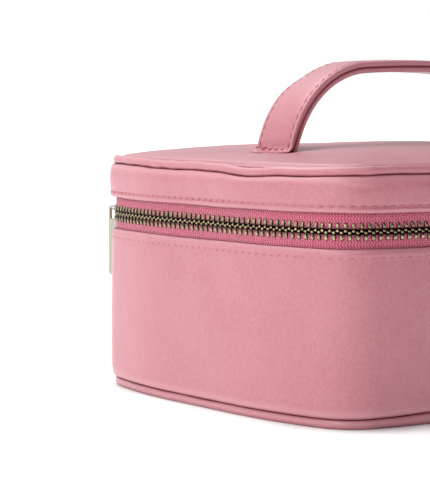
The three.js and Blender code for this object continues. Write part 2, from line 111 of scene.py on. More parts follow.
STITCH_PITCH = 4.3
STITCH_LENGTH = 3.0
STITCH_RADIUS = 0.36
STITCH_LEAN = (6, 12)
STITCH_DENT = 0.38
STITCH_LIFT = 0.10
STITCH_SHADE = 0.13
HINGE_STRIP_HALF = high("back_hinge_strip", X)
HINGE_STRIP_LAP = 2.0
HINGE_STRIP_THICKNESS = 0.6
HINGE_SEAM = 7.4

# Where the lid's top seam dips or rises: distance along the outline, height and width.
SEAM_DIPS = ((229.0, -1.5, 16.0), (259.0, -0.5, 12.0), (306.0, 0.55, 20.0), (128.0, 0.9, 22.0))
# Where the wall bulges over the base welt: distance, height and width.
BASE_LIFT = (330.0, 1.2, 28.0)
# Where a fold runs under the lid's top seam: distance and width, then its depth.
CORNER_FOLD = (280.0, 11.0)
CORNER_FOLD_DEPTH = 0.38

# How the leather of the walls departs from a plain wall.
LEAN_IN = 0.45
SOFT_SWELL = 0.35
FINE_SWELL = 0.07
EDGE_WAVE = 0.22
HEM_SWELL = 0.22

# The feet of the handle, and how they press into the lid top.
FOOT_X = 78.5
FOOT_DIP = 2.1
FOOT_DIP_LENGTH = 13.0
FOOT_DIP_WIDTH = 18.0
GATHERS = 7
GATHER_HEIGHT = 0.28
GATHER_REACH = 19.0
FOOT_BEND_RADIUS = 5.0
FOOT_LENGTH = 3.8
FOOT_PRESS = 1.5
TOP_SKIN = 1.2

HANDLE_WIDTH = 26.0
HANDLE_STEP = 1.2
HANDLE_BASE = (-76.3, DOME_TOP - 1.9)
HANDLE_LEG_ANGLE = math.radians(71)
HANDLE_CROWN_ANGLE = math.radians(3)
HANDLE_BEND_RADIUS = 46.0
HANDLE_BEND_START = DOME_TOP + 3.9
FAR_EDGE_SETTLE = 1.2
FAR_EDGE_BEND = 1.3
OUTER_STRAP = 2.7
INNER_STRAP = 2.4
HANDLE_STITCH_INSET = 2.3
HANDLE_STITCH_START = 8.0
CROSS_PITCH = 2.3
CROSS_REACH = 10.4
CROSS_LEAN = math.radians(38)
CROSS_SLOPE = math.radians(38)

# ---- The camera, in millimetres and degrees ----
CAMERA_PLACE = (-622.4, -658.4, ZIP_HEIGHT + 56.6)
CAMERA_TURN = 37.82
CAMERA_PITCH = 4.77
CAMERA_LENS = 135.8
CAMERA_SENSOR = 36.0

# ---- Floor and light, in metres and watts ----
FLOOR_HALF = 6.0
FLOOR_CORNER = 0.042
FLOOR_TONE = 0.82
# The floor's glow lights the case from below; FLOOR_GLOW_REACH fades it out next to the case, a painted
# shadow.
FLOOR_GLOW = 0.42
FLOOR_GLOW_REACH = (-0.003, 0.012)
FLOOR_FAR_GLOW = 0.40
FLOOR_FAR_GLOW_REACH = (0.10, 0.80)
SWEEP_SIDE = (-0.55, 0.83, 0.10)
SWEEP_FADE = (-0.45, 0.75)
SWEEP_DARK = 0.06
SWEEP_BRIGHT = 1.05
LIGHT_AIM = (0, 0, 0.08)
KEY_POWER = 7.4
TOP_POWER = 20.0
FRONT_POWER = 2.6

# ---- Colours, linear ----
LEATHER = (0.512, 0.182, 0.219)
# The paler leather of the mottle, and also the painted highlight on turned edges.
LEATHER_LIGHT = (0.60, 0.272, 0.306)
LEATHER_DEEP = (0.46, 0.142, 0.176)
# Painted shade: the near-black leather deep in seams, grooves and gaps between parts.
LEATHER_CREASE_SHADE = (0.20, 0.030, 0.042)
THREAD = (0.42, 0.095, 0.135)
THREAD_LIGHT = (0.62, 0.22, 0.27)
TAPE = (0.80, 0.20, 0.30)
TAPE_DEEP = (0.38, 0.04, 0.09)
BRASS = (0.58, 0.465, 0.285)
# Near black: patina together with painted shade and a painted dark reflection in the teeth's recesses.
BRASS_DARK = (0.035, 0.026, 0.016)
PEWTER = (0.48, 0.455, 0.395)
LINING = (0.80, 0.62, 0.58)
LINING_DEEP = (0.66, 0.46, 0.43)
BOARD = (0.36, 0.25, 0.16)
FOAM = (0.78, 0.74, 0.66)


# ---- Plan outline ----
def outline_stretches():
    """(length, angle) of each stretch, counter-clockwise from the middle of the back."""
    shoulder = (SHOULDER_RADIUS, SHOULDER_ANGLE)
    arcs = [shoulder, (CORNER_RADIUS, math.pi / 2 - 2 * SHOULDER_ANGLE), shoulder]
    along = across = turned = 0.0
    for radius, angle in arcs:
        along += radius * (math.sin(turned + angle) - math.sin(turned))
        across += radius * (math.cos(turned) - math.cos(turned + angle))
        turned += angle
    corner = [(radius * angle, angle) for radius, angle in arcs]
    half = [(HALF_LENGTH - along, 0.0)]
    short = [(2 * (HALF_DEPTH - across), 0.0)]
    return half + corner + short + corner + half + half + corner + short + corner + half


STRETCHES = outline_stretches()
OUTLINE_LENGTH = sum(length for length, _ in STRETCHES)
STITCH_COUNT = int(OUTLINE_LENGTH / STITCH_PITCH)
# The direction that the outline faces where the slider rests, at the back left corner.
SLIDER_DIRECTION = math.radians(107.3)
SLIDER_TO_TEETH = 6.2
SLIDER_AT = (STRETCHES[0][0] + STRETCHES[1][0]
             + CORNER_RADIUS * (SLIDER_DIRECTION - math.pi / 2 - SHOULDER_ANGLE))


def outline_at(distance):
    """x, y and heading at each distance along the outline."""
    distance = np.atleast_1d(np.asarray(distance, float)) % OUTLINE_LENGTH
    x = np.zeros_like(distance)
    y = np.full_like(distance, HALF_DEPTH)
    heading = np.full_like(distance, math.pi)
    left = distance.copy()
    for length, angle in STRETCHES:
        part = np.clip(left, 0, length)
        turn = angle * part / length
        chord = (length / angle) * 2 * np.sin(turn / 2) if angle else part
        x += chord * np.cos(heading + turn / 2)
        y += chord * np.sin(heading + turn / 2)
        heading += turn
        left -= part
    return x, y, heading


def stations(start, end, step):
    """Distances from start to end, both included, about a step apart."""
    return np.linspace(start, end, max(2, int(round((end - start) / step)) + 1))


def around(step):
    """Distances all the way round, without the last, which is the first again."""
    return stations(0, OUTLINE_LENGTH, step)[:-1]


def on_outline(distance, outside, height):
    """Points at distances along the outline, outside it and at heights. All three broadcast."""
    distance, outside, height = np.broadcast_arrays(distance, outside, height)
    x, y, heading = outline_at(distance.ravel())
    x = x.reshape(distance.shape) + np.sin(heading).reshape(distance.shape) * outside
    y = y.reshape(distance.shape) - np.cos(heading).reshape(distance.shape) * outside
    return beside(x, y, height)


# ---- Small soft variations ----
RIPPLE_PEAK = 1.6


def ripples(seed, wavelengths, count=7):
    """A smooth random function of two coordinates, in about -1..1, made of a few waves."""
    draw = random.Random(seed)
    waves = []
    for _ in range(count):
        reach = draw.uniform(*wavelengths)
        angle = draw.uniform(0, TURN)
        phase = draw.uniform(0, TURN)
        waves.append((math.cos(angle) / reach, math.sin(angle) / reach, phase))

    def value(u, v):
        total = sum(np.sin(TURN * (u * a + v * b) + phase) for a, b, phase in waves)
        return total / math.sqrt(count) / RIPPLE_PEAK

    return value


def loop_ripples(seed, cycles, count=6):
    """A smooth random function round the closed outline, in about -1..1."""
    draw = random.Random(seed)
    waves = [(draw.randint(*cycles), draw.uniform(0, TURN)) for _ in range(count)]

    def value(distance):
        turn = TURN * distance / OUTLINE_LENGTH
        return sum(np.sin(turn * n + phase) for n, phase in waves) / math.sqrt(count) / RIPPLE_PEAK

    return value


def beside(*columns):
    """Arrays of one coordinate each, put together as points."""
    return np.stack(columns, axis=-1)


def bump(value, centre, width):
    return np.exp(-((value - centre) / width) ** 2)


def smooth(value, start, end):
    t = np.clip((value - start) / (end - start), 0, 1)
    return t * t * (3 - 2 * t)


# ---- Meshes ----
def make_mesh(name, points, faces, material, uv=None, marks=None):
    """A mesh object from points in millimetres. uv is per point, and marks are named point values."""
    mesh = bpy.data.meshes.new(name)
    mesh.from_pydata((np.asarray(points, float) * MM).tolist(), [], faces)
    mesh.polygons.foreach_set("use_smooth", [True] * len(mesh.polygons))
    if uv is not None:
        corners = np.zeros(len(mesh.loops), np.int32)
        mesh.loops.foreach_get("vertex_index", corners)
        layer = mesh.uv_layers.new(name="cloth")
        layer.data.foreach_set("uv", (np.asarray(uv, float)[corners] * MM).ravel())
    for mark, values in (marks or {}).items():
        attribute = mesh.attributes.new(mark, "FLOAT", "POINT")
        attribute.data.foreach_set("value", np.asarray(values, np.float32).ravel())
    mesh.validate()
    mesh.update()
    piece = bpy.data.objects.new(name, mesh)
    bpy.context.scene.collection.objects.link(piece)
    mesh.materials.append(material)
    return piece


def stand_in(piece, node, body):
    """Puts a piece in a CAD node's place, hiding the node, with a body to ride on."""
    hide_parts(node)
    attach(piece, body)


def tube_faces(rows, columns, closed=False):
    """Faces between rings of points, with a cap at each end unless the last ring meets the first."""
    row, column = np.meshgrid(np.arange(rows if closed else rows - 1), np.arange(columns), indexing="ij")
    here = (row * columns).ravel()
    there = ((row + 1) % rows * columns).ravel()
    side = column.ravel()
    other_side = (side + 1) % columns
    faces = np.stack([here + side, there + side, there + other_side, here + other_side], axis=1).tolist()
    if not closed:
        faces.append(list(range(columns)))
        faces.append([(rows - 1) * columns + point for point in reversed(range(columns))])
    return faces


def turned(faces):
    """The same faces, facing the other way."""
    return [face[::-1] for face in faces]


def copied(faces, first):
    """The same faces on another copy of their points, which starts at the point called first."""
    return [[first + point for point in face] for face in faces]


def edge_share(corner):
    """How much of an edge an arc may take: more if the corner at the edge's other end is tight."""
    return 0.8 if corner[2] < 0.6 else 0.49


def rounded(corners, step, arc_steps=5):
    """A closed profile through corners of (across, height, radius), with arcs at the corners and
    points no further apart than step along the straights."""
    points = []
    for i, (x, y, radius) in enumerate(corners):
        here = np.array([x, y], float)
        if radius <= 0:
            points.append(here)
            continue
        last_corner = corners[i - 1]
        next_corner = corners[(i + 1) % len(corners)]
        before = np.array(last_corner[:2], float) - here
        after = np.array(next_corner[:2], float) - here
        reach_before = np.linalg.norm(before)
        reach_after = np.linalg.norm(after)
        before /= reach_before
        after /= reach_after
        cut = radius / math.tan(math.acos(np.clip(before @ after, -1, 1)) / 2)
        start = here + before * min(cut, reach_before * edge_share(last_corner))
        end = here + after * min(cut, reach_after * edge_share(next_corner))
        for k in range(arc_steps + 1):
            t = k / arc_steps
            points.append((1 - t) ** 2 * start + 2 * t * (1 - t) * here + t * t * end)
    filled = []
    for a, b in zip(points, points[1:] + points[:1]):
        pieces = max(1, int(math.ceil(np.linalg.norm(b - a) / step)))
        filled.extend(a + (b - a) * k / pieces for k in range(pieces))
    return np.array(filled)


def profile_run(profile):
    """The length along a profile to each of its points."""
    return np.concatenate([[0], np.cumsum(np.linalg.norm(np.diff(profile, axis=0), axis=1))])


def swept(name, distances, profile, material, shape, marks, closed=True):
    """Sweeps a closed profile of (outside, height) along the outline. shape moves the points, and
    marks give their values: both take the distance, outside and height of the plain sweep."""
    distance, outside = np.meshgrid(distances, profile[:, 0], indexing="ij")
    height = np.broadcast_to(profile[:, 1], distance.shape)
    points = on_outline(distance, *shape(distance, outside, height))
    uv = beside(distance, np.broadcast_to(profile_run(profile), distance.shape))
    values = {mark: rule(distance, outside, height) for mark, rule in marks.items()}
    faces = tube_faces(*distance.shape, closed)
    return make_mesh(name, points.reshape(-1, 3), faces, material, uv.reshape(-1, 2), values)


# ---- Materials ----
class Nodes:
    """A material's node tree, with one short call per node."""

    def __init__(self, name, **settings):
        self.material = bpy.data.materials.new(name)
        self.material.use_nodes = True
        self.tree = self.material.node_tree
        self.shader = self.tree.nodes["Principled BSDF"]
        for socket, value in settings.items():
            self.shader.inputs[socket.replace("_", " ")].default_value = value

    def add(self, kind, inputs=None, **settings):
        node = self.tree.nodes.new("ShaderNode" + kind)
        for key, value in settings.items():
            setattr(node, key, value)
        for socket, value in (inputs or {}).items():
            self.put(node.inputs[socket], value)
        return node

    def put(self, socket, value):
        if isinstance(value, bpy.types.NodeSocket):
            self.tree.links.new(value, socket)
        elif hasattr(socket.default_value, "__len__") and len(socket.default_value) == 4:
            socket.default_value = (*value[:3], 1)
        else:
            socket.default_value = value

    def math(self, operation, *values):
        return self.add("Math", dict(enumerate(values)), operation=operation).outputs[0]

    def mix(self, share, first, second):
        node = self.add("Mix", data_type="RGBA")
        self.put(node.inputs[0], share)
        self.put(node.inputs[6], first)
        self.put(node.inputs[7], second)
        return node.outputs[2]

    def spread(self, value, start, end, low_value=0.0, high_value=1.0):
        """Maps start..end to low_value..high_value, held at the ends."""
        reach = {"From Min": start, "From Max": end, "To Min": low_value, "To Max": high_value}
        return self.add("MapRange", {"Value": value, **reach}).outputs[0]

    def place(self, scale=(1, 1, 1), kind="Object"):
        source = self.add("TexCoord").outputs[kind]
        return self.add("Mapping", {"Vector": source, "Scale": scale}).outputs[0]

    def noise(self, vector, scale, detail=3.0, roughness=0.5):
        inputs = {"Vector": vector, "Scale": scale, "Detail": detail, "Roughness": roughness}
        return self.add("TexNoise", inputs).outputs[0]

    def cells(self, vector, scale, feature="F1"):
        inputs = {"Vector": vector, "Scale": scale}
        return self.add("TexVoronoi", inputs, feature=feature).outputs[0]

    def mark(self, name):
        return self.add("Attribute", attribute_name=name).outputs["Fac"]

    def relief(self, height, strength, distance, under=None):
        inputs = {"Height": height, "Strength": strength, "Distance": distance}
        node = self.add("Bump", inputs)
        if under is not None:
            self.put(node.inputs["Normal"], under)
        return node.outputs[0]

    def finish(self, color, roughness=None, normal=None):
        self.put(self.shader.inputs["Base Color"], color)
        if roughness is not None:
            self.put(self.shader.inputs["Roughness"], roughness)
        if normal is not None:
            self.put(self.shader.inputs["Normal"], normal)
        return self.material


def darker(color, share):
    return tuple(c * share for c in color)


def leather_material():
    """Smooth faux leather: faintly clouded, with a fine pebbled grain, a painted highlight where its
    edges are turned, and painted shade, with its reflection turned down, deep in the seams."""
    n = Nodes("leather", Sheen_Weight=0.08, Sheen_Roughness=0.45)
    place = n.place()
    clouds = n.noise(place, 26.0, 4.0, 0.6)
    mottle = n.noise(place, 620.0, 4.0, 0.7)
    fine = n.noise(place, 1500.0, 3.0, 0.6)
    pebbles = n.cells(place, 1150.0, "SMOOTH_F1")
    wrinkles = n.cells(n.place((1.0, 1.0, 0.75)), 380.0, "DISTANCE_TO_EDGE")
    color = n.mix(n.spread(clouds, 0.32, 0.70, 0.15, 1.0), LEATHER_DEEP, LEATHER)
    color = n.mix(n.spread(mottle, 0.40, 0.68, 0.0, 0.32), color, LEATHER_LIGHT)
    color = n.mix(n.spread(mottle, 0.56, 0.32, 0.0, 0.34), color, LEATHER_DEEP)
    color = n.mix(n.spread(fine, 0.46, 0.74, 0.0, 0.55), color, LEATHER_DEEP)
    color = n.mix(n.spread(pebbles, 0.15, 0.75, 0.0, 0.16), color, LEATHER_DEEP)
    # Painted highlight: wear mixes in paler leather along turned edges and the tops of welts and rolls.
    color = n.mix(n.math("MULTIPLY", n.mark("wear"), 0.7), color, LEATHER_LIGHT)
    # Painted shade: crease darkens the leather deep in seams, grooves and gaps between parts, and turns
    # its reflection down there.
    crease = n.mark("crease")
    color = n.mix(crease, color, LEATHER_CREASE_SHADE)
    n.put(n.shader.inputs["Specular IOR Level"], n.spread(crease, 0.0, 0.7, 0.75, 0.05))
    grain = n.relief(pebbles, 0.30, 0.00010)
    grain = n.relief(n.spread(wrinkles, 0.0, 0.10), 0.20, 0.00009, grain)
    grain = n.relief(mottle, 0.30, 0.00028, grain)
    return n.finish(color, n.spread(mottle, 0.3, 0.7, 0.32, 0.43), grain)


def thread_material():
    n = Nodes("thread", Roughness=0.62, Sheen_Weight=0.2)
    twist = n.noise(n.place(), 2600.0, 2.0)
    color = n.mix(n.spread(twist, 0.40, 0.75), THREAD, THREAD_LIGHT)
    return n.finish(color, None, n.relief(twist, 0.4, 0.0001))


def tape_material():
    """A herringbone weave: rows of slanting ribs that lean the other way in every second row."""
    n = Nodes("zip_tape", Roughness=0.72, Sheen_Weight=0.3, Sheen_Roughness=0.4)
    split = n.add("SeparateXYZ", {"Vector": n.place(kind="UV")})
    along = n.math("DIVIDE", split.outputs[0], WEAVE_PITCH * MM)
    across = n.math("DIVIDE", split.outputs[1], WEAVE_ROW * MM)
    lean = n.math("SIGN", n.math("SINE", n.math("MULTIPLY", across, TURN / 2)))
    slanted = n.math("ADD", along, n.math("MULTIPLY", n.math("MULTIPLY", across, lean), 0.5))
    ribs = n.math("SINE", n.math("MULTIPLY", slanted, TURN))
    rows = n.math("COSINE", n.math("MULTIPLY", across, TURN))
    weave = n.math("SUBTRACT", n.math("MULTIPLY", ribs, 0.75), n.math("MULTIPLY", rows, 0.25))
    fuzz = n.noise(n.place(), 1800.0, 3.0)
    tint = n.mix(n.spread(weave, -0.60, 0.80), TAPE_DEEP, TAPE)
    tint = n.mix(n.spread(fuzz, 0.3, 0.8, 0.0, 0.25), tint, TAPE)
    # Painted shade: crease darkens the tape under the leather's edge and along the teeth.
    tint = n.mix(n.mark("crease"), tint, darker(TAPE_DEEP, 0.35))
    return n.finish(tint, None, n.relief(weave, 0.9, 0.00030, n.relief(fuzz, 0.3, 0.0001)))


def brass_material():
    """Antique brass: a painted highlight on the outer faces, nearly black in the recesses with patina and
    painted shade.
    """
    n = Nodes("antique_brass", Metallic=1.0)
    wear_and_sheen = n.noise(n.place(), 700.0, 4.0, 0.6)
    shine_shade_and_patina = n.math("MULTIPLY", n.mark("shine_shade_and_patina"), n.spread(wear_and_sheen, 0.30, 0.62, 0.30, 1.0))
    color = n.mix(shine_shade_and_patina, BRASS_DARK, BRASS)
    return n.finish(color, n.spread(wear_and_sheen, 0.3, 0.7, 0.20, 0.38), n.relief(wear_and_sheen, 0.15, 0.0001))


def metal_material(name, color, scratch, roughness):
    """A cast metal with a fine upright grain."""
    n = Nodes(name, Metallic=1.0)
    grain = n.noise(n.place((1, 1, 0.06)), 2200.0, 3.0)
    cloud = n.noise(n.place(), 160.0, 3.0)
    tint = n.mix(n.spread(cloud, 0.35, 0.7, 0.0, 0.35), color, darker(color, 0.72))
    rough = n.spread(grain, 0.3, 0.7, roughness - 0.06, roughness + 0.08)
    return n.finish(tint, rough, n.relief(grain, scratch, 0.00004))


def lining_material():
    n = Nodes("lining", Roughness=0.68, Sheen_Weight=0.35, Sheen_Roughness=0.35)
    warp = n.noise(n.place((0.08, 0.08, 1.0)), 2400.0, 2.0)
    weft = n.noise(n.place((1.0, 1.0, 0.08)), 2400.0, 2.0)
    weave = n.math("ADD", warp, weft)
    cloud = n.noise(n.place(), 30.0, 4.0)
    color = n.mix(n.spread(cloud, 0.3, 0.7, 0.0, 0.5), LINING, LINING_DEEP)
    color = n.mix(n.spread(weave, 0.85, 1.25, 0.0, 0.35), color, LINING_DEEP)
    # Painted shade where the lining meets the parts beside it.
    color = n.mix(n.math("MULTIPLY", n.mark("crease"), 0.6), color, LINING_DEEP)
    return n.finish(color, None, n.relief(weave, 0.35, 0.00012))


def board_material():
    n = Nodes("board", Roughness=0.9)
    fibres = n.noise(n.place((1, 0.2, 1)), 900.0, 5.0, 0.7)
    color = n.mix(n.spread(fibres, 0.3, 0.7), BOARD, darker(BOARD, 0.6))
    return n.finish(color, None, n.relief(fibres, 0.4, 0.0002))


def foam_material():
    n = Nodes("foam", Roughness=1.0)
    pores = n.cells(n.place(), 900.0)
    color = n.mix(n.spread(pores, 0.1, 0.6), darker(FOAM, 0.6), FOAM)
    return n.finish(color, None, n.relief(pores, 0.8, 0.0004))


leather = leather_material()
thread = thread_material()
tape_cloth = tape_material()
brass = brass_material()
pewter = metal_material("pewter", PEWTER, 0.25, 0.34)
slider_metal = metal_material("slider_brass", darker(BRASS, 0.8), 0.3, 0.36)
lining = lining_material()
board = board_material()
foam = foam_material()


# ---- Stitches ----
def stitch_shape():
    """One stitch: rounded ends and a belly, as points along, across and up, and its faces."""
    sides = 6
    ends = ((-1.0, 0.25), (-0.82, 0.75), (-0.4, 1.0), (0.4, 1.0), (0.82, 0.75), (1.0, 0.25))
    points = []
    for along, width in ends:
        radius = width * STITCH_RADIUS
        for angle in TURN * np.arange(sides) / sides:
            across = radius * math.cos(angle)
            points.append((along * STITCH_LENGTH / 2, across, radius * math.sin(angle)))
    return np.array(points), turned(tube_faces(len(ends), sides))


def stitches(name, places, along, up, body, seed):
    """One mesh of stitches lying at places, along the seam and standing up from the surface."""
    draw = random.Random(seed)
    shape, shape_faces = stitch_shape()
    # The middle of a stitch stands proud of the leather, and its ends go down into it.
    arch = (0.22 - 0.28 * (shape[:, 0] / (STITCH_LENGTH / 2)) ** 2) * STITCH_RADIUS * 2
    points = []
    faces = []
    for place, run, out in zip(places, along, up):
        run = run / np.linalg.norm(run)
        out = out - run * (out @ run)
        out = out / np.linalg.norm(out)
        side = np.cross(out, run)
        lean = math.radians(draw.uniform(*STITCH_LEAN))
        slanted = run * math.cos(lean) + side * math.sin(lean)
        side = side * math.cos(lean) - run * math.sin(lean)
        stitch = place + np.outer(shape[:, 0], slanted) + np.outer(shape[:, 1], side)
        faces.extend(copied(shape_faces, len(points)))
        points.extend(stitch + np.outer(shape[:, 2] + arch, out))
    piece = make_mesh(name, points, faces, thread)
    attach(piece, body)


def seam_stitches(name, outside, height, body, seed):
    """A row of stitches all the way round the outline."""
    distance = (np.arange(STITCH_COUNT) + 0.5) * OUTLINE_LENGTH / STITCH_COUNT
    _, _, heading = outline_at(distance)
    level = np.zeros(STITCH_COUNT)
    along = beside(np.cos(heading), np.sin(heading), level)
    up = beside(np.sin(heading), -np.cos(heading), level)
    stitches(name, on_outline(distance, outside, height), along, up, body, seed)


# ---- Leather shells of the body and the lid band ----
wall_soft = ripples(3, (55, 130))
wall_fine = ripples(4, (9, 22), 9)
body_edge_wave = loop_ripples(5, (6, 22))
lid_edge_wave = loop_ripples(6, (6, 22))
seam_wave = loop_ripples(7, (14, 46), 8)
base_wave = loop_ripples(8, (10, 34))


def pucker(distance):
    """The little gathers between stitches, in -1..1."""
    return np.cos(TURN * distance / (OUTLINE_LENGTH / STITCH_COUNT))


def base_seam_lift(distance):
    """How far the seam over the base welt rises where the wall bulges over it."""
    place, lift, width = BASE_LIFT
    return lift * bump(distance, place, width)


def seam_lift(distance):
    """How far the lid's top seam wanders up and down."""
    dips = sum(depth * bump(distance, place, width) for place, depth, width in SEAM_DIPS)
    return 0.14 * seam_wave(distance) + dips


def lean_in(height):
    """How far the wall of the body leans in towards the zip."""
    return LEAN_IN * smooth(height, 50, BODY_TOP)


def body_shape(distance, outside, height):
    outer = smooth(outside, 0.2, 1.3)
    swell = SOFT_SWELL * wall_soft(distance, height * 1.4) * bump(height, 40, 34)
    swell = swell + FINE_SWELL * wall_fine(distance, height)
    groove = -STITCH_DENT * bump(height, BODY_STITCH_HEIGHT, 0.75)
    groove = groove + 0.10 * pucker(distance) * bump(height, BODY_STITCH_HEIGHT + 1.2, 2.0)
    hem = HEM_SWELL * bump(height, BODY_TOP - 2.2, 1.4) - lean_in(height)
    edge = EDGE_WAVE * body_edge_wave(distance) * smooth(height, BODY_STITCH_HEIGHT, BODY_TOP)
    seam = base_seam_lift(distance) * (1 - smooth(height, 5, 16))
    return outside + outer * (swell + groove + hem), height + edge + seam


def lid_shape(distance, outside, height):
    outer = smooth(outside, 0.2, 1.4)
    swell = 0.22 * wall_soft(distance + 400, height * 2) + FINE_SWELL * wall_fine(distance, height)
    groove = -STITCH_DENT * bump(height, LID_STITCH_HEIGHT, 0.75)
    groove = groove + 0.08 * pucker(distance) * bump(height, LID_STITCH_HEIGHT - 1.0, 1.6)
    hem = HEM_SWELL * bump(height, LID_BOTTOM + 1.2, 1.1)
    belly = 0.25 * bump(height, (LID_BOTTOM + LID_SEAM) / 2 + 1.5, 4.0)
    edge = EDGE_WAVE * lid_edge_wave(distance) * smooth(height, LID_STITCH_HEIGHT, LID_BOTTOM)
    seam = seam_lift(distance) * smooth(height, LID_SEAM - 5, LID_SEAM)
    ridge = bump(height, LID_SEAM - 2.2, 1.1) - 0.8 * bump(height, LID_SEAM - 4.6, 1.5)
    fold = CORNER_FOLD_DEPTH * ridge * bump(distance, *CORNER_FOLD)
    return outside + outer * (swell + groove + hem + belly + fold), height + edge + seam


def make_shell(name, node, body, step, profile, shape, **marks):
    """A leather piece swept all the way round the case, in a CAD node's place."""
    stand_in(swept(name, around(step), profile, leather, shape, marks), node, body)


def edge_highlight_of(edges, width):
    """Painted highlight: paler leather where it turns over an edge."""
    def rule(distance, outside, height):
        wear_and_sheen = [bump(height, edge, width) for edge in edges]
        return np.maximum.reduce(wear_and_sheen) * smooth(outside, 0.0, 1.0)
    return rule


def make_body_wall():
    start = WELT_HEIGHT + 0.1
    hem_bottom = BODY_TOP - HEM_HEIGHT
    back = BODY_FACE - SKIN
    profile = rounded([
        (-0.7, start, 0.2), (0.9, start + 0.9, 1.6), (BODY_FACE, 9.5, 6.0),
        (BODY_FACE, BODY_TOP, 2.8), (HEM_BACK, BODY_TOP, 0.5), (HEM_BACK, hem_bottom, 0.2),
        (back, hem_bottom, 0.2), (back, 10.0, 3.0), (-0.5, start + 1.4, 0.3),
    ], step=1.6)

    # Painted shade in the seam over the base welt and along the stitch groove.
    def crease(distance, outside, height):
        base_seam = 0.95 * bump(height, start - 0.3, 0.7)
        return np.maximum(base_seam, STITCH_SHADE * bump(height, BODY_STITCH_HEIGHT, 0.5))

    make_shell("body_outer_wall_leather", "body_outer_wall", "case", 1.5, profile, body_shape,
               wear=edge_highlight_of([BODY_TOP, 6.0], 1.6), crease=crease)
    face = BODY_FACE - STITCH_DENT - float(lean_in(BODY_STITCH_HEIGHT)) + STITCH_LIFT
    seam_stitches("body_edge_stitches", face, BODY_STITCH_HEIGHT, "case", 11)


def make_lid_band():
    hem_top = LID_BOTTOM + HEM_HEIGHT
    back = LID_FACE - SKIN
    profile = rounded([
        (HEM_BACK, hem_top, 0.2), (HEM_BACK, LID_BOTTOM, 0.5), (LID_FACE, LID_BOTTOM, 2.3),
        (LID_FACE, LID_SEAM, 5.0), (-0.4, LID_SEAM + 0.15, 0.3), (-0.4, LID_SEAM - 0.7, 0.2),
        (back, LID_SEAM - 1.4, 1.6), (back, hem_top, 0.2),
    ], step=0.8, arc_steps=7)

    # Painted shade in the seam under the welt and along the stitch groove.
    def crease(distance, outside, height):
        top_seam = 0.95 * bump(height, LID_SEAM + 0.2, 0.5) * (1 - smooth(outside, 0.2, 1.1))
        return np.maximum(top_seam, STITCH_SHADE * bump(height, LID_STITCH_HEIGHT, 0.5))

    make_shell("lid_band_leather", "lid_band", "lid", 1.5, profile, lid_shape,
               wear=edge_highlight_of([LID_BOTTOM, LID_SEAM - 1.2], 1.3), crease=crease)
    face = LID_FACE - STITCH_DENT + STITCH_LIFT
    seam_stitches("lid_edge_stitches", face, LID_STITCH_HEIGHT, "lid", 12)


# ---- Welts ----
def welt_profile(face, width, low_height, high_height, points=18):
    """A welt's section, a little squarer than an oval."""
    angle = TURN * np.arange(points) / points
    middle = (low_height + high_height) / 2
    across = face - width / 2 + np.cos(angle) * width / 2
    rise = np.sign(np.sin(angle)) * np.abs(np.sin(angle)) ** 0.85
    return beside(across, middle + rise * (high_height - low_height) / 2)


def make_lid_welt():
    fat = loop_ripples(21, (30, 80), 8)
    centre = -1.4
    middle = (WELT_LOW + WELT_HIGH) / 2

    def shape(distance, outside, height):
        grow = 1 + 0.07 * fat(distance)
        lift = seam_lift(distance)
        return centre + (outside - centre) * grow, middle + (height - middle) * grow + lift

    # Painted shade in the seam under the welt.
    def crease(distance, outside, height):
        return 0.95 * bump(height, WELT_LOW - 0.2, 0.55) * (1 - smooth(outside, -0.3, 0.2))

    # Painted highlight on the welt's upper half.
    def wear(distance, outside, height):
        return 0.8 * smooth(height, WELT_LOW + 1.4, WELT_HIGH)

    profile = welt_profile(0.35, 3.7, WELT_LOW - 0.35, WELT_HIGH + 0.15)
    make_shell("lid_welt_piping", "lid_welt", "lid", 1.2, profile, shape, crease=crease, wear=wear)


def make_base_welt():
    fat = loop_ripples(22, (24, 70), 8)
    centre = -2.1

    def shape(distance, outside, height):
        grow = 1 + 0.05 * fat(distance)
        lift = base_seam_lift(distance) * smooth(height, 0.5, WELT_HEIGHT)
        wave = 0.12 * base_wave(distance) * smooth(height, 0.4, 2.0)
        return centre + (outside - centre) * grow, height + lift + wave

    # Painted shade in the seam between the welt and the wall.
    def crease(distance, outside, height):
        near_wall = smooth(height, WELT_HEIGHT - 0.7, WELT_HEIGHT + 0.1)
        return 0.9 * near_wall * (1 - smooth(outside, -1.0, -0.3))

    # Painted highlight along the welt's rounded face.
    def wear(distance, outside, height):
        return bump(height, 2.4, 1.3)

    profile = welt_profile(-0.2, 3.8, 0.0, WELT_HEIGHT + 0.2)
    make_shell("base_welt_piping", "base_welt", "case", 1.2, profile, shape, crease=crease, wear=wear)


# ---- Padded lid top ----
top_soft = ripples(31, (45, 95))
top_fine = ripples(32, (12, 26), 9)


def share_at(x, y):
    """How far out each point of the lid top lies: 0 at the centre, 1 at the edge of the dome."""
    edge = on_outline(around(0.8), -DOME_INSET, 0.0)
    edge_angle = np.arctan2(edge[:, 1], edge[:, 0])
    reach = np.interp(np.arctan2(y, x), edge_angle, np.hypot(edge[:, 0], edge[:, 1]), period=TURN)
    return np.hypot(x, y) / reach


def lid_top_height(x, y):
    """The height of the padded lid top over each point."""
    x = np.asarray(x, float)
    y = np.asarray(y, float)
    share = share_at(x, y)
    dome = DOME_EDGE + DOME_RISE * (1 - np.clip(share, 0, 1) ** 2) ** DOME_POWER
    soft = 0.42 * top_soft(x, y) + 0.06 * top_fine(x, y)
    from_foot = np.abs(x) - FOOT_X
    dip = -FOOT_DIP * bump(from_foot, 0, FOOT_DIP_LENGTH) * bump(y, -3, FOOT_DIP_WIDTH)
    away = np.hypot(from_foot, y)
    angle = np.arctan2(y, from_foot)
    gathers = GATHER_HEIGHT * np.sin(GATHERS * angle + 0.8) * bump(away, GATHER_REACH, 8)
    return dome + (1 - smooth(share, 0.9, 1.0)) * (soft + dip + gathers)


